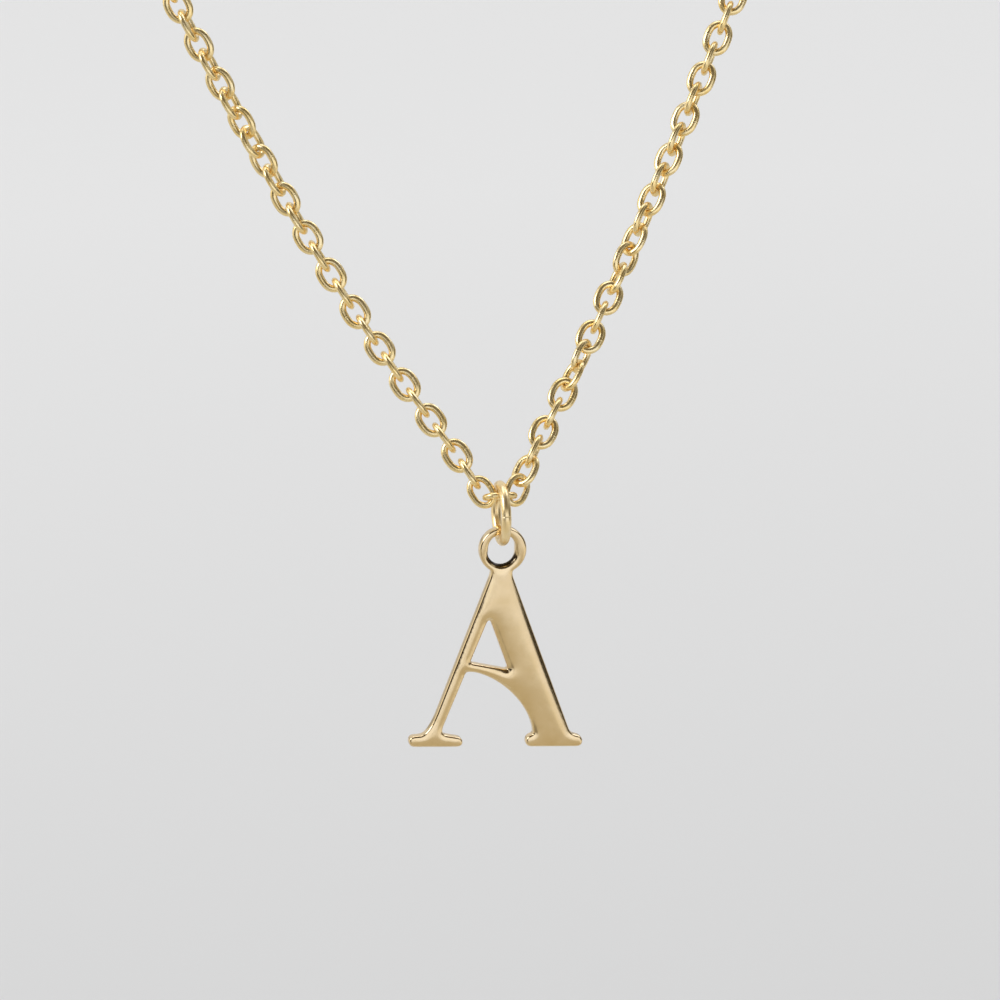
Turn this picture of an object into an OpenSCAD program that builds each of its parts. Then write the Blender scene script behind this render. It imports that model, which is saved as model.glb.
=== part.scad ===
// Gold initial pendant on a fine cable chain, shown as it hangs when worn.
// Millimetres, +Z up. The letter faces -Y. The origin is where the clasp lies on the back of the neck.

/* [Letter] */
// Width of the letter over its feet
letter_w = 13.3; // [11:0.05:18]
// Height of the letter from its feet to its neck
letter_h = 13.8; // [11:0.1:18]
// Thickness of the letter and its eye
letter_t = 1; // [0.8:0.05:1.5]
// Width of the thin left stroke at its foot, measured level
thin_w = 0.84; // [0.6:0.05:1.3]
// Width of the thick right stroke, measured level
thick_w = 2.95; // [2:0.05:3.4]
// Width of the neck below the eye
neck_w = 1.4; // [1.1:0.05:1.8]
// Height from the feet up to the left end of the crossbar
bar_h = 6.6; // [5:0.1:7.5]
// Thickness of the crossbar at its left end
bar_t = 0.68; // [0.5:0.02:1.1]
// Width of the left foot
thin_foot_w = 4.1; // [3:0.05:5]
// Width of the right foot
thick_foot_w = 4.35; // [4:0.05:5.2]
// Thickness of the feet at their rounded ends
foot_t = 0.8; // [0.6:0.05:1]

/* [Eye] */
// Outer diameter of the eye on top of the letter
eye_d = 3.6; // [3.4:0.05:4.6]
// Width of the hole through the eye
eye_hole_w = 2.08; // [1.9:0.05:2.6]
// Height of the hole through the eye
eye_hole_h = 2.4; // [2.3:0.05:2.8]

/* [Jump ring] */
// Outer diameter of the jump ring
ring_d = 4.85; // [4.6:0.05:6]
// Diameter of the jump ring's wire
ring_wire = 0.66; // [0.5:0.02:0.74]

/* [Chain] */
// Outer length of a chain link
link_l = 2.6; // [2.4:0.01:3]
// Outer width of a chain link
link_w = 1.92; // [1.8:0.01:2.1]
// Diameter of the chain's wire
chain_wire = 0.4; // [0.3:0.01:0.42]

/* [Clasp] */
// Length of the clasp's barrel
barrel_l = 7; // [5:0.5:12]
// Diameter of the clasp's barrel
barrel_d = 2.6; // [2:0.1:4]
// Radius of the rounding at the barrel's ends
barrel_round = 0.5; // [0.2:0.1:0.8]
// Outer diameter of the eyes at the clasp's ends
clasp_eye_d = 2.6; // [2.5:0.05:3.2]
// Diameter of the wire of those eyes
clasp_wire = 0.5; // [0.4:0.02:0.56]

/* [Fit] */
// Gap between pieces that hang in each other
gap = 0.1; // [0.08:0.01:0.14]
// Play of the links on each other beyond that gap
link_play = 0.04; // [0.03:0.01:0.12]

/* [Hidden] */

// Way of a strand from the middle link, whose centre is at zero, round to the clasp: x outward, y back, z up
ROUTE = [
  [3.2, 1.9, 3.25], [6.75, 4.7, 8.35], [11.6, 8.6, 16.1], [16.2, 11.8, 24.5], [20.6, 14.9, 33.1],
  [24.8, 18.5, 41.7], [29.2, 23.8, 49.9], [33.7, 31, 57.6], [38, 41, 64.8], [42.5, 53, 71], [46, 68, 76],
  [46, 85, 80], [41.5, 100.5, 83], [32, 112, 85], [18.5, 118.5, 86]
];
// Middle of the clasp, on the same scale
CLASP_AT = [0, 120.5, 86];
// How far the links of each strand are turned about it, as [link number, degrees]
TURN_RIGHT = [
  [0, -25], [1, -30], [2, 0], [3, 29], [4, 38], [6, 42], [7, 70], [8, 99], [9, 128], [11, 129],
  [13, 165], [15, 195], [19, 200], [24, 219]
];
TURN_LEFT = [[1, 30], [2, 32], [3, 32], [13, 28], [16, 14], [20, -10], [24, 7], [30, 32]];
// How far the first links are tucked in at the bend by the middle link
TUCK = 0.06;
// How far the letter tilts as it hangs, its thick stroke being the heavier
HANG = 3.25;

$fn = 48;
gold = "#D9BC82";
chain_gold = "#D8B566";

function unit(v) = v / norm(v);
function last(v) = v[len(v) - 1];
function mirrored(p) = [-p.x, p.y, p.z];

// Half the length and half the width of a link, at the middle of its wire
link_a = (link_l - chain_wire) / 2;
link_b = (link_w - chain_wire) / 2;

// Clasp: its eyes are centred just outside the barrel's ends
clasp_eye_r = (clasp_eye_d - clasp_wire) / 2;
clasp_eye_x = barrel_l / 2 + clasp_eye_r * 0.6;
clasp_end = CLASP_AT + [clasp_eye_x + clasp_eye_r, 0, 0];

// Smooth curve through the route's points, cut into short straight steps
middle_end = [link_a, 0, 0];
way = concat([middle_end - unit(ROUTE[0] - middle_end) * TUCK], ROUTE, [clasp_end]);
way_s = distances(way);
steps = 16;
curve = [for (i = [0:len(way) - 2]) for (k = [0:steps - 1]) on_way(i, k / steps), last(way)];
curve_s = distances(curve);
run = last(curve_s);

// Distance of each point of a path from its start, measured along it
function distances(p) =
  [for (i = 0, s = 0; i < len(p); i = i + 1, s = s + (i < len(p) ? norm(p[i] - p[i - 1]) : 0)) s];
function slope(i) =
  let (a = max(i - 1, 0), b = min(i + 1, len(way) - 1)) (way[b] - way[a]) / (way_s[b] - way_s[a]);
function on_way(i, t) =
  let (h = way_s[i + 1] - way_s[i])
  way[i] * (1 + 2 * t) * (1 - t)^2 + way[i + 1] * t^2 * (3 - 2 * t)
  + slope(i) * h * t * (1 - t)^2 - slope(i + 1) * h * t^2 * (1 - t);

curve_x = [for (i = [0:len(curve) - 1]) [curve_s[i], curve[i].x]];
curve_y = [for (i = [0:len(curve) - 1]) [curve_s[i], curve[i].y]];
curve_z = [for (i = [0:len(curve) - 1]) [curve_s[i], curve[i].z]];
function along(s) = [lookup(s, curve_x), lookup(s, curve_y), lookup(s, curve_z)];

// As many links as fill the strand, with the gap or a little more between them
links_run = run + (chain_wire + clasp_wire) / 2 + gap;
links = ceil(links_run / (link_l - 2 * chain_wire - gap - link_play));
pitch = links_run / links;
function turned(k, turns) = 90 * k + lookup(k, turns);
// Centre and direction of link k of the right strand
function link_centre(k) = k == 0 ? [0, 0, 0] : along(k * pitch - link_a);
function link_way(k) =
  k == 0 ? [1, 0, 0] : unit(along(k * pitch - link_a + 0.5) - along(k * pitch - link_a - 0.5));

// Middle of the jump ring, which rests on both wires of the turned middle link
ring_in = ring_d / 2 - ring_wire;
ring_drop = sqrt((ring_in - chain_wire / 2 - gap)^2 - link_b^2);
ring_at = [0, ring_drop * sin(TURN_RIGHT[0][1]), -ring_drop * cos(TURN_RIGHT[0][1])];

// Eye on top of the letter, and the round top of its hole, which hangs on the ring
eye_z = letter_h + eye_d / 2 - 0.16;
eye_hole_z = eye_z + 0.05;
eye_lift = (eye_hole_h - eye_hole_w) / 2;
eye_at = ring_at - [0, 0, sqrt((ring_in - gap)^2 - (letter_t / 2)^2) + eye_hole_w / 2];
// The origin is on the clasp's side that lies on the neck
to_origin = -CLASP_AT + [0, barrel_d / 2, 0];

// Letter outline: x from the middle of the eye's hole, z from the feet
apex_x = 0.1;
x_left = -0.47 * letter_w;
x_right = x_left + letter_w;
foot_z = foot_t * 1.18;
thin_foot_x = x_left + 0.28 * thin_foot_w;
thick_foot_x = x_right - 0.12 * thick_foot_w;
bowl_end = [x_right - thick_foot_w + 0.125 * thick_foot_w, foot_t * 1.22];

// Points on the edges of the strokes at height z
function thin_out(z) = [thin_foot_x + (apex_x - neck_w / 2 - thin_foot_x) * z / letter_h, z];
function thin_in(z) = thin_out(z) + [thin_w * (1 + 0.43 * z / letter_h), 0];
function thick_out(z) = [thick_foot_x + (apex_x + neck_w / 2 - thick_foot_x) * z / letter_h, z];
function thick_in(z) = thick_out(z) - [thick_w, 0];

// Curve that rounds off corner b between a and c, leaving it ra before and rc after b
function rounded(a, b, c, ra, rc, n = 6) =
  let (p = b + unit(a - b) * ra, q = b + unit(c - b) * rc)
  [for (i = [0:n]) let (t = i / n) p * (1 - t)^2 + b * 2 * t * (1 - t) + q * t^2];
function bezier(a, b, c, d, n = 24) =
  [for (i = [0:n]) let (t = i / n) a * (1 - t)^3 + b * 3 * t * (1 - t)^2 + c * 3 * t^2 * (1 - t) + d * t^3];

// Corners of the feet
thin_foot = [
  [x_left, 0], [x_left, foot_t], thin_out(foot_z), thin_in(foot_z * 1.05),
  [x_left + thin_foot_w, foot_t * 0.86], [x_left + thin_foot_w, 0]
];
thick_foot = [
  [x_right - thick_foot_w, 0], [x_right - thick_foot_w, foot_t], bowl_end, thick_out(bowl_end.y),
  [x_right, foot_t], [x_right, 0]
];
// The crossbar's underside and the inside of the thick stroke are one curve
bar_left = thin_in(bar_h - bar_t);
bowl = bezier(
  bar_left + [0.1, 0],
  [bar_left.x + 0.41 * (bowl_end.x - bar_left.x), bar_left.y - 0.03],
  [bowl_end.x - 0.26, bowl_end.y + 0.5 * (bar_left.y - bowl_end.y)],
  bowl_end
);
// Where the neck's sides run into the eye, a little inside its rim
neck_z = letter_h + 0.2;
neck_x = sqrt((eye_d / 2)^2 - (eye_z - neck_z)^2);
neck_left = [apex_x - 0.95 * neck_x, eye_z - 0.95 * (eye_z - neck_z)];
neck_right = [2 * apex_x - neck_left.x, neck_left.y];
// Rounding at the feet's ends
end_r = 0.47 * foot_t;

outline = concat(
  [[apex_x, eye_z - 0.4 * eye_d]],
  rounded(neck_left, thin_out(letter_h - 0.05), thin_foot[2], 0.3, 0.6),
  rounded(thin_out(letter_h), thin_foot[2], thin_foot[1], 2, 0.6),
  rounded(thin_foot[2], thin_foot[1], thin_foot[0], 0.4, end_r),
  rounded(thin_foot[1], thin_foot[0], thin_foot[5], end_r, 0.5),
  rounded(thin_foot[0], thin_foot[5], thin_foot[4], 0.5, 0.85 * end_r),
  rounded(thin_foot[5], thin_foot[4], thin_foot[3], 0.85 * end_r, 0.4),
  rounded(thin_foot[4], thin_foot[3], bar_left, 0.5, 0.7),
  rounded(thin_foot[3], bar_left, bowl[3], 0.25, 0.2),
  [for (i = [2:len(bowl) - 1]) bowl[i]],
  rounded(thick_foot[2], thick_foot[1], thick_foot[0], 0.5, end_r),
  rounded(thick_foot[1], thick_foot[0], thick_foot[5], end_r, 0.5),
  rounded(thick_foot[0], thick_foot[5], thick_foot[4], 0.5, end_r),
  rounded(thick_foot[5], thick_foot[4], thick_foot[3], end_r, 0.52),
  rounded(thick_foot[4], thick_foot[3], thick_out(letter_h), 0.38, 0.5),
  rounded(thick_foot[3], thick_out(letter_h - 0.05), neck_right, 0.6, 0.3)
);

// Corners of the counter, the closed triangle above the crossbar
counter_top_z = letter_h * (thick_in(0).x - thin_in(0).x)
  / (thick_in(0).x - thin_in(0).x - thick_in(letter_h).x + thin_in(letter_h).x);
counter_top = thin_in(counter_top_z);
counter_left = thin_in(bar_h);
counter_right = thick_in(bar_h - 0.57);
counter = concat(
  rounded(counter_left, counter_top, counter_right, 0.55, 0.55),
  rounded(counter_top, counter_right, counter_left, 0.35, 0.3),
  rounded(counter_right, counter_left, counter_top, 0.2, 0.2)
);

// Letter A with its eye, one casting, with its face in the XZ plane
module letter() {
  color(gold) translate(to_origin + eye_at) rotate([0, HANG, 0]) translate([0, 0, -eye_hole_z - eye_lift])
    rotate([90, 0, 0]) difference() {
      union() {
        linear_extrude(letter_t, center = true) difference() {
          polygon(outline);
          polygon(counter);
        }
        translate([apex_x, eye_z, 0]) cylinder(h = letter_t, d = eye_d, center = true);
      }
      eye_hole(letter_t + 1);
    }
}

// Hole with straight sides and round ends
module eye_hole(h) {
  translate([0, eye_hole_z - eye_lift, 0]) cylinder(h = h, d = eye_hole_w, center = true);
  translate([0, eye_hole_z + eye_lift, 0]) cylinder(h = h, d = eye_hole_w, center = true);
  translate([0, eye_hole_z, 0]) cube([eye_hole_w, 2 * eye_lift, h], center = true);
}

// Round wire ring that hangs over the middle link and carries the eye
module jump_ring() {
  color(gold) translate(to_origin + ring_at) rotate([0, 90, 0]) rotate_extrude()
    translate([(ring_d - ring_wire) / 2, 0]) circle(d = ring_wire);
}

// Link with straight sides and round ends, along X and flat in the XY plane
module link() {
  side_l = link_l - link_w;
  translate([side_l / 2, 0, 0]) rotate([0, 0, -90]) link_end();
  translate([-side_l / 2, 0, 0]) rotate([0, 0, 90]) link_end();
  translate([-side_l / 2, link_b, 0]) rotate([0, 90, 0]) cylinder(h = side_l, d = chain_wire);
  translate([-side_l / 2, -link_b, 0]) rotate([0, 90, 0]) cylinder(h = side_l, d = chain_wire);
}

module link_end() {
  rotate_extrude(angle = 180) translate([link_b, 0]) circle(d = chain_wire);
}

// Places its child at c, along t and turned about t
module placed(c, t, turn) {
  level = unit(cross([0, 0, 1], t));
  wide = level * cos(turn) + cross(t, level) * sin(turn);
  up = cross(t, wide);
  multmatrix([[t.x, wide.x, up.x, c.x], [t.y, wide.y, up.y, c.y], [t.z, wide.z, up.z, c.z]]) children();
}

// Strand from link 1 to the clasp, on the left
module chain_left() {
  color(chain_gold) translate(to_origin) for (k = [1:links])
    placed(mirrored(link_centre(k)), mirrored(link_way(k)), turned(k, TURN_LEFT)) link();
}

// Middle link and the strand from it to the clasp, on the right
module chain_right() {
  color(chain_gold) translate(to_origin) for (k = [0:links])
    placed(link_centre(k), link_way(k), turned(k, TURN_RIGHT)) link();
}

// Barrel with an eye at each end, turned square to the last link
module clasp() {
  core_r = barrel_d / 2 - barrel_round;
  half = barrel_l / 2 - barrel_round;
  color(chain_gold) translate(to_origin + CLASP_AT) {
    rotate([0, 90, 0]) rotate_extrude() union() {
      translate([0, -barrel_l / 2]) square([core_r, barrel_l]);
      translate([0, -half]) square([barrel_d / 2, 2 * half]);
      for (s = [-1, 1]) translate([core_r, s * half]) circle(r = barrel_round);
    }
    clasp_eye(1, TURN_RIGHT);
    clasp_eye(-1, TURN_LEFT);
  }
}

module clasp_eye(side, turns) {
  translate([side * clasp_eye_x, 0, 0]) rotate([side * (90 - turned(links, turns)), 0, 0])
    rotate_extrude() translate([clasp_eye_r, 0]) circle(d = clasp_wire);
}

letter();
jump_ring();
chain_left();
chain_right();
clasp();
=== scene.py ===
import math
import bpy
import numpy as np
from mathutils import Matrix, Vector
from mathutils.geometry import delaunay_2d_cdt


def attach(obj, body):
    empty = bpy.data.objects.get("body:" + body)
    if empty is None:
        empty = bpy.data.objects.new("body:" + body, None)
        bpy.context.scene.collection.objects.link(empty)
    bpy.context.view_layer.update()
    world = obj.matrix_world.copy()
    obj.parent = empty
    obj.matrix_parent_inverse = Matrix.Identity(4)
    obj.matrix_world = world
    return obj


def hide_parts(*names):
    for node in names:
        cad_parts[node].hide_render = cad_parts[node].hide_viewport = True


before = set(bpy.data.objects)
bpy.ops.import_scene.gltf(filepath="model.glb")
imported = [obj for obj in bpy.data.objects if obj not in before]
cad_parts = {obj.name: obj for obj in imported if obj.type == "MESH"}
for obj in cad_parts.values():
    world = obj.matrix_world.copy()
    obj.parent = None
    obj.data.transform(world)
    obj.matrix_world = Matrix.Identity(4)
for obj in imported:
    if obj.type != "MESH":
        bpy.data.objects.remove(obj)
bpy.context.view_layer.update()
mm = 0.001
print("frame loaded, nodes:", ", ".join(sorted(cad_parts)))

# camera, which looks a little from the left and from above through a long lens
camera = {
    "azimuth": -11.0, "elevation": 17.0,
    "distance": 1.2, "span": 0.075,          # metres, span is what the picture's width covers
    "sensor": 36,                            # millimetres
    "eyeHole": (0.0, -0.120229, -0.090073),  # front middle of the eye's hole
    "eyeHoleAt": (0.5025, 0.5525),           # where it stands in the picture, from the top left
}


def makeCamera(p):
    turn, tilt = math.radians(p["azimuth"]), math.radians(p["elevation"])
    right = Vector((math.cos(turn), math.sin(turn), 0))
    back = Vector((math.sin(turn) * math.cos(tilt), -math.cos(turn) * math.cos(tilt), math.sin(tilt)))
    up = back.cross(right)
    aim = Vector(p["eyeHole"]) - right * (p["eyeHoleAt"][0] - 0.5) * p["span"]
    aim += up * (p["eyeHoleAt"][1] - 0.5) * p["span"]
    spot = aim + back * p["distance"]
    data = bpy.data.cameras.new("camera")
    data.sensor_width = p["sensor"]
    data.lens = p["sensor"] * p["distance"] / p["span"]
    ob = bpy.data.objects.new("camera", data)
    ob.matrix_world = Matrix((
        (right.x, up.x, back.x, spot.x), (right.y, up.y, back.y, spot.y),
        (right.z, up.z, back.z, spot.z), (0, 0, 0, 1)))
    bpy.context.collection.objects.link(ob)
    bpy.context.scene.camera = ob


makeCamera(camera)
print("camera set")

# materials: three finishes of gold plate, with what they share in polish
letterGold = {
    "metal": 1.0, "colour": (0.845, 0.65, 0.365), "deep": (0.785, 0.585, 0.30),
    "roughness": (0.12, 0.21), "cloudSize": 900, "grainSize": 9000, "grain": 0.03, "swell": 0.05,
}
ringGold = {
    "metal": 0.88, "colour": (0.98, 0.78, 0.44), "deep": (0.95, 0.70, 0.31),
    "roughness": (0.25, 0.36), "cloudSize": 1300, "grainSize": 12000, "grain": 0.03, "swell": 0.06,
}
chainGold = {
    "metal": 0.89, "colour": (0.99, 0.81, 0.45), "deep": (0.98, 0.71, 0.27),
    "roughness": (0.21, 0.34), "cloudSize": 1500, "grainSize": 14000, "grain": 0.03, "swell": 0.05,
}
polish = {
    "cloudDetail": 4, "cloudRough": 0.5, "grainDetail": 6, "grainRough": 0.65,
    "toneSpan": (0.3, 0.7), "glossSpan": (0.25, 0.8),   # the part of the noise that the ramps use
    "swellDepth": 0.1, "grainDepth": 0.02,              # millimetres
}
# painted shade: the near-black colour put into the lower side of the eye's hole, in place of a black
# reflection
paintedShadeInHole = {
    "colour": (0.03, 0.022, 0.012), "from": 0.3, "to": 0.65,
}


def makeGold(name, g, p=polish):
    mat = bpy.data.materials.new(name)
    mat.use_nodes = True
    nodes, links = mat.node_tree.nodes, mat.node_tree.links
    shader = nodes["Principled BSDF"]
    shader.inputs["Metallic"].default_value = g["metal"]
    where = nodes.new("ShaderNodeTexCoord")

    def noise(size, detail, rough):
        n = nodes.new("ShaderNodeTexNoise")
        n.inputs["Scale"].default_value = size
        n.inputs["Detail"].default_value = detail
        n.inputs["Roughness"].default_value = rough
        links.new(where.outputs["Object"], n.inputs["Vector"])
        return n.outputs["Fac"]

    def ramp(source, span, low, high):
        r = nodes.new("ShaderNodeValToRGB")
        for e, at, colour in zip(r.color_ramp.elements, span, (low, high)):
            e.position = at
            e.color = (*colour, 1)
        links.new(source, r.inputs["Fac"])
        return r.outputs["Color"]

    def bump(source, strength, depth):
        b = nodes.new("ShaderNodeBump")
        b.inputs["Strength"].default_value = strength
        b.inputs["Distance"].default_value = depth * mm
        links.new(source, b.inputs["Height"])
        return b

    clouds = noise(g["cloudSize"], p["cloudDetail"], p["cloudRough"])
    grain = noise(g["grainSize"], p["grainDetail"], p["grainRough"])
    tone = ramp(clouds, p["toneSpan"], g["deep"], g["colour"])
    low, high = g["roughness"]
    gloss = ramp(grain, p["glossSpan"], (low,) * 3, (high,) * 3)
    swell = bump(clouds, g["swell"], p["swellDepth"])   # slow waves left by the polishing wheel
    fine = bump(grain, g["grain"], p["grainDepth"])     # fine grain of the casting
    links.new(swell.outputs["Normal"], fine.inputs["Normal"])
    links.new(tone, shader.inputs["Base Color"])
    links.new(gloss, shader.inputs["Roughness"])
    links.new(fine.outputs["Normal"], shader.inputs["Normal"])
    return mat


def addPaintedShadeInHole(mat, p):
    # painted shade: the lower side of the eye's hole gets a near-black base colour, which stands in for
    # the black reflection seen there
    nodes, links = mat.node_tree.nodes, mat.node_tree.links
    shader = nodes["Principled BSDF"]
    tone = shader.inputs["Base Color"].links[0].from_socket
    where = nodes.new("ShaderNodeAttribute")
    where.attribute_name = "paintedShadeInHole"
    edge = nodes.new("ShaderNodeMapRange")
    edge.inputs["From Min"].default_value = p["from"]
    edge.inputs["From Max"].default_value = p["to"]
    mix = nodes.new("ShaderNodeMix")
    mix.data_type = "RGBA"
    mix.inputs["B"].default_value = (*p["colour"], 1)
    links.new(where.outputs["Fac"], edge.inputs["Value"])
    links.new(edge.outputs["Result"], mix.inputs["Factor"])
    links.new(tone, mix.inputs["A"])
    links.new(mix.outputs["Result"], shader.inputs["Base Color"])


goldOfLetter = makeGold("letterGold", letterGold)
goldOfRing = makeGold("ringGold", ringGold)
goldOfChain = makeGold("chainGold", chainGold)
print("materials made")

# letter with its eye: one casting with soft edges and a slightly domed face
letter = {
    # its outline in millimetres, apart from the shares
    "width": 13.3, "height": 13.8, "leftShare": 0.47,     # share of the width left of the eye's hole
    "apex": 0.1, "neck": 1.4, "neckRise": 0.2, "neckPinch": 0.95, "shoulder": 0.05,
    "thin": 0.84, "thinWiden": 0.43, "thinStands": 0.28,  # a stroke stands at a share of its foot
    "thick": 2.95, "thickStands": 0.12,
    "leftFoot": 4.1, "rightFoot": 4.35, "foot": 0.8, "footEnd": 0.47,
    "instep": 1.18, "innerInstep": 1.05, "toe": 0.86, "toeEnd": 0.85,
    "barHeight": 6.6, "bar": 0.68, "barFall": 0.57,
    "bowlLands": (0.125, 1.22), "bowlStart": 0.1,
    "bowlRun": 0.41, "bowlDip": 0.03, "bowlBack": 0.26, "bowlRise": 0.5,
    "eye": 3.6, "eyeSink": 0.16, "holeWidth": 2.08, "holeHeight": 2.4, "holeRise": 0.05,
    "holePoints": 200, "rimClear": 0.005, "rimGap": 0.03, "rimStep": 0.02,  # the last two in radians
    # its relief in millimetres
    "thickness": 1.0, "overhang": 0.1, "dome": 0.07, "domeRun": 0.27, "backDome": 0.04,
    "sweep": 0.1, "sweepRun": 1.0, "sweepShare": 0.6, "bow": 0.09,
    "edgeRound": 0.19, "holeRound": 0.45, "wornFrom": 0.3, "wornRun": 1.1,  # the hole's lower edge is worn
    # how the painted shade on the hole's lower side fades in across its rounding
    "paintedShadeGain": 3, "paintedShadeStart": 0.6,
    # how it hangs, and how fine its mesh is
    "hangsAt": (0, -119.729307, -89.76325), "hang": 3.25,
    "step": 0.06, "meshSize": 0.1, "meshClear": 0.6, "roundSteps": 8,
}


def xz(*p):
    return np.array(p, float)


def unit(v):
    return v / np.linalg.norm(v)


def cornerCurve(a, b, c, before, after, n=14):
    p, q = b + unit(a - b) * before, b + unit(c - b) * after
    return [p * (1 - t) ** 2 + b * 2 * t * (1 - t) + q * t * t for t in np.linspace(0, 1, n + 1)]


def roundCorners(corners):
    return [point for corner in corners for point in cornerCurve(*corner)]


def bezier(a, b, c, d, n=60):
    return [a * (1 - t) ** 3 + b * 3 * t * (1 - t) ** 2 + c * 3 * t * t * (1 - t) + d * t ** 3
            for t in np.linspace(0, 1, n + 1)]


def letterOutlines(p):
    # x from the middle of the eye's hole, z up from the feet, in millimetres
    apex, high, foot = p["apex"], p["height"], p["foot"]
    left = -p["leftShare"] * p["width"]
    right = left + p["width"]
    thinX = left + p["thinStands"] * p["leftFoot"]
    thickX = right - p["thickStands"] * p["rightFoot"]
    bowlAt, bowlAbove = p["bowlLands"]
    bowlEnd = xz(right - p["rightFoot"] + bowlAt * p["rightFoot"], foot * bowlAbove)

    def thinOut(z):
        return xz(thinX + (apex - p["neck"] / 2 - thinX) * z / high, z)

    def thinIn(z):
        return thinOut(z) + xz(p["thin"] * (1 + p["thinWiden"] * z / high), 0)

    def thickOut(z):
        return xz(thickX + (apex + p["neck"] / 2 - thickX) * z / high, z)

    def thickIn(z):
        return thickOut(z) - xz(p["thick"], 0)

    eyeR = p["eye"] / 2
    eyeZ = high + p["eye"] / 2 - p["eyeSink"]
    neckZ = high + p["neckRise"]
    neckX = math.sqrt(eyeR ** 2 - (eyeZ - neckZ) ** 2)
    neckLeft = xz(apex - p["neckPinch"] * neckX, eyeZ - p["neckPinch"] * (eyeZ - neckZ))
    neckRight = xz(2 * apex - neckLeft[0], neckLeft[1])
    shoulder, instep = high - p["shoulder"], foot * p["instep"]
    # corners of the feet, from the lower left one round to the lower right one
    lf = [xz(left, 0), xz(left, foot), thinOut(instep), thinIn(instep * p["innerInstep"]),
          xz(left + p["leftFoot"], foot * p["toe"]), xz(left + p["leftFoot"], 0)]
    rf = [xz(right - p["rightFoot"], 0), xz(right - p["rightFoot"], foot), bowlEnd,
          thickOut(bowlEnd[1]), xz(right, foot), xz(right, 0)]
    end = p["footEnd"] * foot
    toeEnd = p["toeEnd"] * end
    barLeft = thinIn(p["barHeight"] - p["bar"])
    bowl = bezier(
        barLeft + xz(p["bowlStart"], 0),
        xz(barLeft[0] + p["bowlRun"] * (bowlEnd[0] - barLeft[0]), barLeft[1] - p["bowlDip"]),
        xz(bowlEnd[0] - p["bowlBack"], bowlEnd[1] + p["bowlRise"] * (barLeft[1] - bowlEnd[1])),
        bowlEnd)
    thinSide = [
        # point before, corner, point after, how far the curve runs before and after the corner
        (neckLeft, thinOut(shoulder), lf[2], 0.3, 0.6), (thinOut(high), lf[2], lf[1], 2, 0.6),
        (lf[2], lf[1], lf[0], 0.4, end), (lf[1], lf[0], lf[5], end, 0.5),
        (lf[0], lf[5], lf[4], 0.5, toeEnd), (lf[5], lf[4], lf[3], toeEnd, 0.4),
        (lf[4], lf[3], barLeft, 0.5, 0.7), (lf[3], barLeft, bowl[7], 0.25, 0.2),
    ]
    thickSide = [
        (rf[2], rf[1], rf[0], 0.5, end), (rf[1], rf[0], rf[5], end, 0.5),
        (rf[0], rf[5], rf[4], 0.5, end), (rf[5], rf[4], rf[3], end, 0.52),
        (rf[4], rf[3], thickOut(high), 0.38, 0.5), (rf[3], thickOut(shoulder), neckRight, 0.6, 0.3),
    ]
    # the last corner on the left takes the place of the bowl's first points
    outer = roundCorners(thinSide) + bowl[4:-1] + roundCorners(thickSide)

    # the eye's rim takes over where the neck's sides run into it
    eyeMid = xz(apex, eyeZ)
    outer = [q for q in outer if np.linalg.norm(q - eyeMid) > eyeR + p["rimClear"]]
    first, last = [math.atan2(q[1] - eyeZ, q[0] - apex) for q in (outer[-1], outer[0])]
    rim = np.arange(first + p["rimGap"], last + 2 * math.pi - p["rimGap"], p["rimStep"])
    outer += [eyeMid + eyeR * xz(math.cos(t), math.sin(t)) for t in rim]

    # the counter between the strokes above the bar
    wide = thickIn(0)[0] - thinIn(0)[0]
    top = thinIn(high * wide / (wide - thickIn(high)[0] + thinIn(high)[0]))
    low, lowRight = thinIn(p["barHeight"]), thickIn(p["barHeight"] - p["barFall"])
    counter = roundCorners([
        (low, top, lowRight, 0.55, 0.55), (top, lowRight, low, 0.35, 0.3), (lowRight, low, top, 0.2, 0.2)])

    # the eye's upright hole
    holeR, holeZ = p["holeWidth"] / 2, eyeZ + p["holeRise"]
    lift = p["holeHeight"] / 2 - holeR
    hole = [xz(holeR * math.cos(t), holeZ + holeR * math.sin(t) + (lift if math.sin(t) > 0 else -lift))
            for t in np.linspace(0, -2 * math.pi, p["holePoints"], endpoint=False)]
    return outer, counter, hole, holeZ + lift, holeZ


def evenly(points, step, softening=3):
    # a closed line at even steps, with its corners slightly softened
    p = np.array(points)
    p = p[np.linalg.norm(p - np.roll(p, 1, 0), axis=1) > 1e-6]
    q = np.vstack([p, p[:1]])
    s = np.r_[0, np.cumsum(np.linalg.norm(np.diff(q, axis=0), axis=1))]
    t = np.linspace(0, s[-1], int(round(s[-1] / step)), endpoint=False)
    p = np.c_[np.interp(t, s, q[:, 0]), np.interp(t, s, q[:, 1])]
    for _ in range(softening):
        p = 0.25 * np.roll(p, 1, 0) + 0.5 * p + 0.25 * np.roll(p, -1, 0)
    return p


def turnedWay(p, clockwise):
    area = np.sum(p[:, 0] * np.roll(p[:, 1], -1) - np.roll(p[:, 0], -1) * p[:, 1])
    return p[::-1] if (area < 0) != clockwise else p


def inward(p):
    # directions across a closed line, into the metal
    t = np.roll(p, -1, 0) - np.roll(p, 1, 0)
    t /= np.linalg.norm(t, axis=1)[:, None]
    return np.c_[-t[:, 1], t[:, 0]]


def insideLoops(points, loops):
    x, z = points[:, 0], points[:, 1]
    inside = np.zeros(len(points), bool)
    for p in loops:
        q = np.roll(p, -1, 0)
        for (ax, az), (bx, bz) in zip(p, q):
            if az == bz:
                continue
            hit = (az > z) != (bz > z)
            inside ^= hit & (x < ax + (z - az) * (bx - ax) / (bz - az))
    return inside


def distanceTo(points, loops, block=500):
    line = np.vstack(loops)
    out = np.empty(len(points))
    for i in range(0, len(points), block):
        d = points[i:i + block, None, :] - line[None]
        out[i:i + block] = np.sqrt((d ** 2).sum(2).min(1))
    return out


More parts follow.
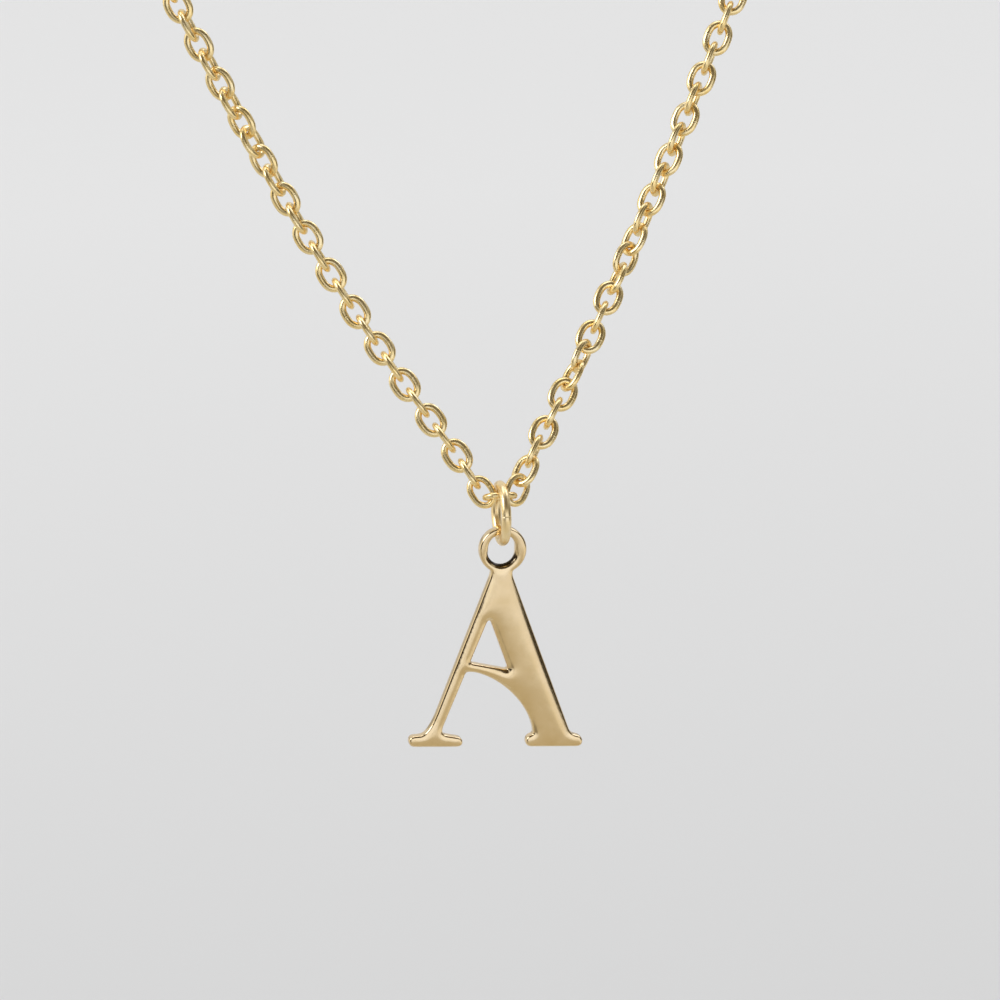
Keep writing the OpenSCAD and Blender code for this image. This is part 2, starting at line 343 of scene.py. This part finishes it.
def flatFace(inner, loops, size, clear):
    # points and triangles of the face inside its rounded edge, with the edge's points first
    lo, hi = loops[0].min(0), loops[0].max(0)
    xs = np.arange(lo[0], hi[0], size)
    zs = np.arange(lo[1], hi[1], size * math.sqrt(0.75))    # rows of even triangles
    grid = np.vstack([np.c_[xs + (size / 2) * (k % 2), np.full(len(xs), z)] for k, z in enumerate(zs)])
    grid = grid[insideLoops(grid, loops)]
    grid = grid[distanceTo(grid, inner) > clear * size]
    grid = grid[insideLoops(grid, inner)]
    edges, start = [], 0
    for q in inner:
        edges += [(start + i, start + (i + 1) % len(q)) for i in range(len(q))]
        start += len(q)
    flat = [Vector(v) for v in np.vstack([*inner, grid])]
    verts, _, faces, _, _, _ = delaunay_2d_cdt(flat, edges, [], 0, 1e-7)
    points, tris = np.array([tuple(v) for v in verts]), np.array(faces)
    return points, tris[insideLoops(points[tris].mean(1), inner)], np.arange(len(points)) < start


def domeOver(points, tris, fixed, run, sweeps=400, weakest=0.02, strongest=8):
    # height of a soft dome, zero along the edge and one far inside it
    n = len(points)
    rows, cols, vals = [], [], []
    area = np.zeros(n)
    for k in range(3):
        i, j, o = tris[:, k], tris[:, (k + 1) % 3], tris[:, (k + 2) % 3]
        u, v = points[i] - points[o], points[j] - points[o]
        cross = np.abs(u[:, 0] * v[:, 1] - u[:, 1] * v[:, 0]) + 1e-12
        cot = np.clip((u * v).sum(1) / cross, weakest, strongest) / 2
        rows += [i, j]
        cols += [j, i]
        vals += [cot, cot]
        area += np.bincount(i, cross / 6, n)
    rows, cols, vals = np.concatenate(rows), np.concatenate(cols), np.concatenate(vals)
    lift = area / run ** 2
    total = np.bincount(rows, vals, n) + lift + 1e-12
    h = np.zeros(n)
    for _ in range(sweeps):
        h = np.where(fixed, 0, (np.bincount(rows, vals * h[cols], n) + lift) / total)
    return h


def buildLetter(p):
    outer, counter, hole, pivotZ, holeZ = letterOutlines(p)
    loops = [turnedWay(evenly(outer, p["step"]), False),
             turnedWay(evenly(counter, p["step"]), True),
             turnedWay(evenly(hole, p["step"], 1), True)]
    rounds = [np.full(len(q), p["edgeRound"]) for q in loops]
    # the hole's lower side gets a larger rounding, and on the front also the painted shade
    wornAndShaded = np.clip((holeZ + p["wornFrom"] - loops[2][:, 1]) / p["wornRun"], 0, 1)
    rounds[2] += (p["holeRound"] - p["edgeRound"]) * wornAndShaded * wornAndShaded * (3 - 2 * wornAndShaded)
    edgeSlope = math.atan(p["dome"] / p["domeRun"] + p["sweepShare"] * p["sweep"] / p["sweepRun"])
    # the rounding ends where the dome's slope begins
    inner = [q + inward(q) * (r * (1 - math.sin(edgeSlope)))[:, None] for q, r in zip(loops, rounds)]
    flat, tris, fixed = flatFace(inner, loops, p["meshSize"], p["meshClear"])
    rise = domeOver(flat, tris, fixed, p["domeRun"])
    sweep = domeOver(flat, tris, fixed, p["sweepRun"])
    along = np.clip(1 - (2 * flat[:, 1] / p["height"] - 1) ** 2, 0, 1)
    front = p["dome"] * rise + p["sweep"] * sweep + p["bow"] * rise * along
    print("letter face:", len(flat), "points,", len(tris), "triangles, dome up to", round(front.max(), 3))
    points, faces, dark = [], [], []

    def side(sign, half, bulge):
        # face on one side with its rounded edge, returns where its outermost loops start
        last = math.pi / 2 - edgeSlope
        first = len(points)
        points.extend((x, sign * (half + u), z) for (x, z), u in zip(flat, bulge))
        dark.extend([0.0] * len(flat))
        faces.extend(tuple(int(first + i) for i in (t if sign < 0 else t[::-1])) for t in tris)
        innerStart, outermost = first, []
        for q, r in zip(loops, rounds):
            n, normal = len(q), inward(q)
            inHole = sign < 0 and q is loops[2]
            before = innerStart
            for a in np.linspace(last, 0, p["roundSteps"] + 1)[1:]:
                at = len(points)
                line = q + normal * (r * (1 - math.cos(a)))[:, None]
                depth = sign * (half - r * (math.sin(last) - math.sin(a)))
                # painted shade: the front rounding of the hole's lower side is blackened more towards its
                # wall
                fade = np.clip((1 - a / last) * p["paintedShadeGain"] - p["paintedShadeStart"], 0, 1)
                points.extend((x, y, z) for (x, z), y in zip(line, depth))
                dark.extend(wornAndShaded * fade if inHole else np.zeros(n))
                for i in range(n):
                    j = (i + 1) % n
                    f = (before + i, at + i, at + j, before + j)
                    faces.append(f if sign < 0 else f[::-1])
                before = at
            outermost.append(before)
            innerStart += n
        return outermost

    half = p["thickness"] / 2
    frontRims = side(-1, half + p["overhang"] - front.max(), front)
    backRims = side(1, half - p["backDome"], p["backDome"] * rise)
    for q, f, b in zip(loops, frontRims, backRims):
        for i in range(len(q)):
            j = (i + 1) % len(q)
            faces.append((f + i, b + i, b + j, f + j))
    co = np.array(points)
    co[:, 2] -= pivotZ
    t = math.radians(p["hang"])
    x = co[:, 0] * math.cos(t) + co[:, 2] * math.sin(t)
    z = -co[:, 0] * math.sin(t) + co[:, 2] * math.cos(t)
    co = np.c_[x, co[:, 1], z] + np.array(p["hangsAt"])
    return co * mm, faces, np.array(dark, np.float32)


def meshPiece(name, co, faces, mat, body, slotName, node):
    mesh = bpy.data.meshes.new(name)
    mesh.from_pydata([tuple(v) for v in co], [], faces)
    mesh.update()
    mesh.shade_smooth()
    mesh.materials.append(mat)
    ob = bpy.data.objects.new(name, mesh)
    bpy.context.collection.objects.link(ob)
    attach(ob, body)
    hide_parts(node)
    return ob


letterCo, letterFaces, letterPaintedShade = buildLetter(letter)
letterPiece = meshPiece("letterCasting", letterCo, letterFaces, goldOfLetter, "pendant", "gold", "letter")
# the painted shade of the hole's lower side goes into the mesh as a point attribute
letterPiece.data.attributes.new("paintedShadeInHole", "FLOAT", "POINT").data.foreach_set("value", letterPaintedShade)
addPaintedShadeInHole(goldOfLetter, paintedShadeInHole)
print("letter built")

# jump ring: round wire with a fine closed joint at the front
ring = {
    "across": 4.85, "wire": 0.66, "plating": 0.04, "middle": (0, -119.729307, -87.1351),
    "joint": 9.5, "jointDepth": 0.06, "jointSpread": 0.6,     # degrees round the ring
    "jointPoints": (-1.8, -1.2, -0.8, -0.4, 0, 0.4, 0.8, 1.2, 1.8), "jointRoom": 2.4,
    "around": 160, "section": 36,
}


def tubeFaces(n, m):
    # faces of a closed tube with n sections of m points
    return [(i * m + j, ((i + 1) % n) * m + j, ((i + 1) % n) * m + (j + 1) % m, i * m + (j + 1) % m)
            for i in range(n) for j in range(m)]


def buildRing(p):
    big, small = (p["across"] - p["wire"]) / 2, p["wire"] / 2
    angles = np.linspace(0, 360, p["around"], endpoint=False)
    plain = angles[np.abs(angles - p["joint"]) > p["jointRoom"]]
    angles = np.sort(np.r_[plain, p["joint"] + np.array(p["jointPoints"])])
    co = []
    for a in angles:
        groove = p["jointDepth"] * math.exp(-((a - p["joint"]) / p["jointSpread"]) ** 2)
        r = (small + p["plating"]) * (1 - groove)
        t = math.radians(a)                     # 0 points to the front
        for s in np.linspace(0, 2 * math.pi, p["section"], endpoint=False):
            d = big + r * math.cos(s)
            co.append((r * math.sin(s), -d * math.cos(t), d * math.sin(t)))
    return (np.array(co) + np.array(p["middle"])) * mm, tubeFaces(len(angles), p["section"])


meshPiece("jumpRing", *buildRing(ring), goldOfRing, "ring", "gold", "jump_ring")
print("jump ring built")

# chain: oval links of round wire, each with its soldered joint on one side
chain = {
    "linkLength": 2.6, "linkWidth": 1.92, "wire": 0.4, "gap": 0.1, "play": 0.04, "tuck": 0.06,
    "claspWire": 0.5, "claspEye": 2.6, "eyeReach": 1.6, "barrel": 7.0, "barrelWidth": 2.6,
    "clasp": (0, 120.5, 86),                    # from the middle link
    "plating": 0.04, "oval": 0.55, "section": 16, "bend": 14, "curveSteps": 16,
    "broad": 0.06,                              # how far the wire is broader on its outer side
    "slimLinks": 2,                             # the links by the jump ring, which have no room for it
    "jointSwell": 0.035, "swellRun": 0.09, "jointCut": 0.06, "cutRun": 0.014,
    "jointPoints": (0.23, 0.13, 0.05, 0.018, 0, -0.018, -0.05, -0.13, -0.23),
    "flipSeed": 7,                              # for the side that each link has its joint on
}
route = [
    (3.2, 1.9, 3.25), (6.75, 4.7, 8.35), (11.6, 8.6, 16.1), (16.2, 11.8, 24.5), (20.6, 14.9, 33.1),
    (24.8, 18.5, 41.7), (29.2, 23.8, 49.9), (33.7, 31, 57.6), (38, 41, 64.8), (42.5, 53, 71), (46, 68, 76),
    (46, 85, 80), (41.5, 100.5, 83), (32, 112, 85), (18.5, 118.5, 86),
]
# link's number from the middle link, and its turn in degrees
turnRight = [(0, -25), (1, -30), (2, 0), (3, 29), (4, 38), (6, 42), (7, 70), (8, 99), (9, 128), (11, 129),
             (13, 165), (15, 195), (19, 200), (24, 219)]
turnLeft = [(1, 30), (2, 32), (3, 32), (13, 28), (16, 14), (20, -10), (24, 7), (30, 32)]


def strandCurve(p):
    # smooth curve from the middle link to the clasp's eye, with the length along it
    eyeR = (p["claspEye"] - p["claspWire"]) / 2
    ends = np.array(p["clasp"], float) + (p["barrel"] / 2 + p["eyeReach"] * eyeR, 0, 0)
    pts = np.array(route, float)
    first = np.array(((p["linkLength"] - p["wire"]) / 2, 0, 0))
    way = np.vstack([first - unit(pts[0] - first) * p["tuck"], pts, ends])
    s = np.r_[0, np.cumsum(np.linalg.norm(np.diff(way, axis=0), axis=1))]

    def slope(i):
        lo, hi = max(i - 1, 0), min(i + 1, len(way) - 1)
        return (way[hi] - way[lo]) / (s[hi] - s[lo])

    out = []
    for i in range(len(way) - 1):
        h = s[i + 1] - s[i]
        for t in np.arange(p["curveSteps"]) / p["curveSteps"]:
            out.append(way[i] * (1 + 2 * t) * (1 - t) ** 2 + way[i + 1] * t * t * (3 - 2 * t)
                       + slope(i) * h * t * (1 - t) ** 2 - slope(i + 1) * h * t * t * (1 - t))
    out = np.array(out + [way[-1]])
    return out, np.r_[0, np.cumsum(np.linalg.norm(np.diff(out, axis=0), axis=1))]


def linkPath(p):
    # middle line of a link's wire along X, flat in XY, with the joint on its +Y side
    r, b = p["wire"] / 2 + p["plating"], (p["linkWidth"] - p["wire"]) / 2
    half = (p["linkLength"] - p["linkWidth"]) / 2
    path = []                                   # x, y, direction outward, radius of the wire

    def bend(middle, fromAngle):
        for t in np.linspace(fromAngle, fromAngle + 180, p["bend"], endpoint=False):
            path.append((middle + b * math.cos(math.radians(t)), b * math.sin(math.radians(t)), t, r))

    for x in (half, *p["jointPoints"]):
        swell = p["jointSwell"] * math.exp(-(x / p["swellRun"]) ** 2)
        swell -= p["jointCut"] * math.exp(-(x / p["cutRun"]) ** 2)
        path.append((x, b, 90, r * (1 + swell)))
    bend(-half, 90)
    path += [(half * x, -b, 270, r) for x in (-1, -0.5, 0, 0.5)]
    bend(half, 270)
    # part of the way from straight sides to an ellipse
    oval = []
    for x, y, t, w in path:
        q = math.atan2(y / b, x / (half + b))
        ex, ey = (half + b) * math.cos(q), b * math.sin(q)
        et = math.degrees(math.atan2(math.sin(q) / b, math.cos(q) / (half + b))) % 360
        oval.append((x + p["oval"] * (ex - x), y + p["oval"] * (ey - y),
                     t + p["oval"] * ((et - t + 180) % 360 - 180), w))
    return oval


def linkShape(p, path, broad):
    # the wire round its middle line, broader by so much on the link's outer side
    co = []
    for x, y, t, w in path:
        out = np.array((math.cos(math.radians(t)), math.sin(math.radians(t)), 0))
        for s in np.linspace(0, 2 * math.pi, p["section"], endpoint=False):
            reach = w + broad if math.cos(s) > 0 else w
            co.append(np.array((x, y, 0)) + out * reach * math.cos(s) + np.array((0, 0, w * math.sin(s))))
    return np.array(co)


def buildStrand(p, side, turns, firstLink):
    curve, s = strandCurve(p)
    reach = (p["linkLength"] - p["wire"]) / 2
    length = s[-1] + (p["wire"] + p["claspWire"]) / 2 + p["gap"]
    count = math.ceil(length / (p["linkLength"] - 2 * p["wire"] - p["gap"] - p["play"]))
    pitch = length / count
    path = linkPath(p)
    slim, broad = linkShape(p, path, 0), linkShape(p, path, p["broad"])
    linkFaces = tubeFaces(len(path), p["section"])
    shift = np.array((0, p["barrelWidth"] / 2, 0)) - np.array(p["clasp"], float)
    flips = np.random.default_rng(p["flipSeed"] + side).integers(0, 2, count + 1) * 2 - 1

    def along(d):
        return np.array([np.interp(d, s, curve[:, k]) for k in range(3)]) * (side, 1, 1)

    co, faces = [], []
    for k in range(firstLink, count + 1):
        d = k * pitch - reach
        if k:
            mid, way = along(d), unit(along(d + 0.5) - along(d - 0.5))
        else:
            mid, way = np.zeros(3), np.array((1.0, 0, 0))
        # each link stands square to the one before it, and follows the strand's twist
        turn = math.radians(90 * k + np.interp(k, *zip(*turns)))
        level = unit(np.cross((0, 0, 1), way))
        wide = level * math.cos(turn) + np.cross(way, level) * math.sin(turn)
        axes = np.array((way, wide * flips[k], np.cross(way, wide) * flips[k]))
        shape = slim if k < p["slimLinks"] else broad
        faces += [tuple(len(co) * len(shape) + i for i in q) for q in linkFaces]
        co.append(shape @ axes + mid + shift)
    print("strand:", count, "links at", round(pitch, 4), "mm")
    return np.vstack(co) * mm, faces


meshPiece("chainLeft", *buildStrand(chain, -1, turnLeft, 1), goldOfChain,
          "chain", "chain_gold", "chain_left")
meshPiece("chainRight", *buildStrand(chain, 1, turnRight, 0), goldOfChain,
          "chain", "chain_gold", "chain_right")
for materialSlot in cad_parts["clasp"].material_slots:
    materialSlot.material = goldOfChain
print("chain built, clasp plated")

# floor, with painted shade that makes it darker near the camera and painted light that makes it brighter
# far away, and soft studio light
studio = {
    "floorZ": -0.30, "floorSize": 9.0, "floorColour": (0.74, 0.74, 0.74),
    "floorRough": 0.9, "floorShine": 0.1,
    "paintedShadeFrom": 0.36, "paintedShadeTo": 0.70, "paintedShadeNear": 0.92, "paintedLightFar": 1.085,
    "world": (1.0, 1.0, 1.0), "worldStrength": 0.45,
}


def shadeAlongY(nodes, links, nearY, farY, stops):
    # colours that change with the place's Y, at fractions of the way from nearY to farY
    where = nodes.new("ShaderNodeNewGeometry")
    split = nodes.new("ShaderNodeSeparateXYZ")
    scale = nodes.new("ShaderNodeMapRange")
    ramp = nodes.new("ShaderNodeValToRGB")
    scale.inputs["From Min"].default_value = nearY
    scale.inputs["From Max"].default_value = farY
    links.new(where.outputs["Position"], split.inputs["Vector"])
    links.new(split.outputs["Y"], scale.inputs["Value"])
    links.new(scale.outputs["Result"], ramp.inputs["Fac"])
    while len(ramp.color_ramp.elements) < len(stops):
        ramp.color_ramp.elements.new(0.5)
    for e, (at, colour) in zip(ramp.color_ramp.elements, stops):
        e.position = at
        e.color = (*colour, 1)
    return ramp.outputs["Color"]


def newMaterial(name):
    mat = bpy.data.materials.new(name)
    mat.use_nodes = True
    return mat, mat.node_tree.nodes["Principled BSDF"]


def stageSheet(name, width, height, place, mat):
    # a flat sheet of the set, which isn't part of the object
    w, h = width / 2, height / 2
    mesh = bpy.data.meshes.new(name)
    mesh.from_pydata([(-w, -h, 0), (w, -h, 0), (w, h, 0), (-w, h, 0)], [], [(0, 1, 2, 3)])
    mesh.materials.append(mat)
    ob = bpy.data.objects.new(name, mesh)
    ob.location = place
    bpy.context.collection.objects.link(ob)
    return ob


def lookAt(ob, place, target, axis):
    ob.rotation_mode = "QUATERNION"
    ob.rotation_quaternion = (Vector(target) - Vector(place)).to_track_quat(axis, "Y")


def makeFloor(p):
    mat, shader = newMaterial("paleFloor")
    shader.inputs["Roughness"].default_value = p["floorRough"]
    shader.inputs["Specular IOR Level"].default_value = p["floorShine"]
    # painted shade and light: the floor's base colour darkens towards the camera and brightens far away,
    # in place of the fall of the light
    stops = [(at, [v * shade for v in p["floorColour"]])
             for at, shade in ((0, p["paintedShadeNear"]), (1, p["paintedLightFar"]))]
    tree = mat.node_tree
    colour = shadeAlongY(tree.nodes, tree.links, p["paintedShadeFrom"], p["paintedShadeTo"], stops)
    tree.links.new(colour, shader.inputs["Base Color"])
    stageSheet("floor", p["floorSize"], p["floorSize"], (0, 0, p["floorZ"]), mat)


lamps = [
    # name, place, looks at, width, height, watts
    ("topSoftbox", (0, 0.8, 1.5), (0, 0.8, -0.3), 2.0, 2.0, 20),
    ("keyLeft", (-0.9, -0.6, 0.9), (0, -0.1, -0.08), 0.9, 0.9, 4),
    ("fillRight", (1.1, -0.5, 0.7), (0, -0.1, -0.08), 0.7, 0.7, 2),
]


def makeLamp(name, place, target, width, height, watts):
    data = bpy.data.lights.new(name, "AREA")
    data.shape = "RECTANGLE"
    data.size, data.size_y, data.energy = width, height, watts
    ob = bpy.data.objects.new(name, data)
    ob.location = place
    lookAt(ob, place, target, "-Z")
    ob.visible_glossy = False
    bpy.context.collection.objects.link(ob)


cards = [
    # cards round the set, seen only in the metal: name, middle, looks at, width, height, colour
    ("whiteFront", (0.1, -1.3, 0.06), (0.1, -0.1, 0.06), 2.0, 0.68, (1.12, 1.19, 1.41)),
    ("darkAbove", (0.05, -0.72, 0.55), (0.05, -0.5, 0), 1.25, 0.95, (0.07, 0.05, 0.022)),
    ("paleBack", (0, 1.1, 0.48), (0, -0.1, -0.05), 2.4, 1.0, (0.76, 0.77, 0.82)),
    ("whiteLeft", (-0.57, 0.16, -0.03), (0, -0.1, -0.09), 0.6, 0.42, (1.1, 1.08, 1.03)),
    ("softLeft", (-0.80, -0.22, 0.42), (0, -0.1, -0.08), 0.5, 0.5, (4.8, 5.1, 6.3)),
    ("softRight", (0.6, 0.25, 0.62), (0, -0.1, -0.08), 0.5, 0.5, (2.6, 2.8, 3.6)),
    ("softTop", (-0.1, 0.2, 1.0), (0, -0.1, -0.08), 0.7, 0.5, (2.4, 2.5, 2.9)),
    ("blackLeft", (-0.42, -0.40, -0.08), (0, -0.12, -0.09), 0.52, 0.22, (0.03, 0.02, 0.01)),
    ("blackRight", (0.45, -0.31, -0.02), (0, -0.31, -0.02), 0.38, 0.32, (0.02, 0.014, 0.007)),
    ("blackUpperLeft", (-0.35, -0.43, 0.20), (0, -0.12, -0.09), 0.2, 0.2, (0.03, 0.02, 0.01)),
    ("brightFrontRight", (0.44, -0.55, -0.291), (0.44, -0.55, 1), 0.4, 0.6, (0.92, 0.92, 0.94)),
    ("dimFrontLeft", (-0.27, -0.66, -0.292), (-0.27, -0.66, 1), 0.24, 0.5, (0.30, 0.285, 0.25)),
]
frontTable = {
    # lies before the set, dim near it and bright farther away
    "near": -0.25, "far": -1.25, "width": 2.0, "z": -0.296,
    "stops": [
        (0, (0.585, 0.55, 0.465)), (0.3, (0.61, 0.575, 0.505)),
        (0.46, (0.60, 0.58, 0.54)), (0.64, (1.0, 1.04, 1.2)),
    ],
}


def makeCard(name, place, target, width, height, colour):
    mat, shader = newMaterial(name)
    shader.inputs["Base Color"].default_value = (0, 0, 0, 1)
    shader.inputs["Specular IOR Level"].default_value = 0
    shader.inputs["Emission Color"].default_value = (*colour, 1)
    shader.inputs["Emission Strength"].default_value = 1
    ob = stageSheet(name, width, height, place, mat)
    lookAt(ob, place, target, "Z")
    ob.visible_camera = False
    ob.visible_shadow = False
    ob.visible_diffuse = False
    return ob


def makeFrontTable(p):
    place = (0, (p["near"] + p["far"]) / 2, p["z"])
    ob = makeCard("frontTable", place, (0, place[1], 1), p["width"], p["near"] - p["far"], (1, 1, 1))
    ob.rotation_quaternion = (1, 0, 0, 0)
    tree = ob.data.materials[0].node_tree
    colour = shadeAlongY(tree.nodes, tree.links, p["near"], p["far"], p["stops"])
    tree.links.new(colour, tree.nodes["Principled BSDF"].inputs["Emission Color"])


def makeWorld(p):
    world = bpy.data.worlds.new("studio")
    world.use_nodes = True
    background = world.node_tree.nodes["Background"]
    background.inputs["Color"].default_value = (*p["world"], 1)
    background.inputs["Strength"].default_value = p["worldStrength"]
    bpy.context.scene.world = world
    bpy.context.scene.view_settings.view_transform = "Standard"


makeFloor(studio)
for lamp in lamps:
    makeLamp(*lamp)
makeFrontTable(frontTable)
for card in cards:
    makeCard(*card)
makeWorld(studio)
print("studio lit")
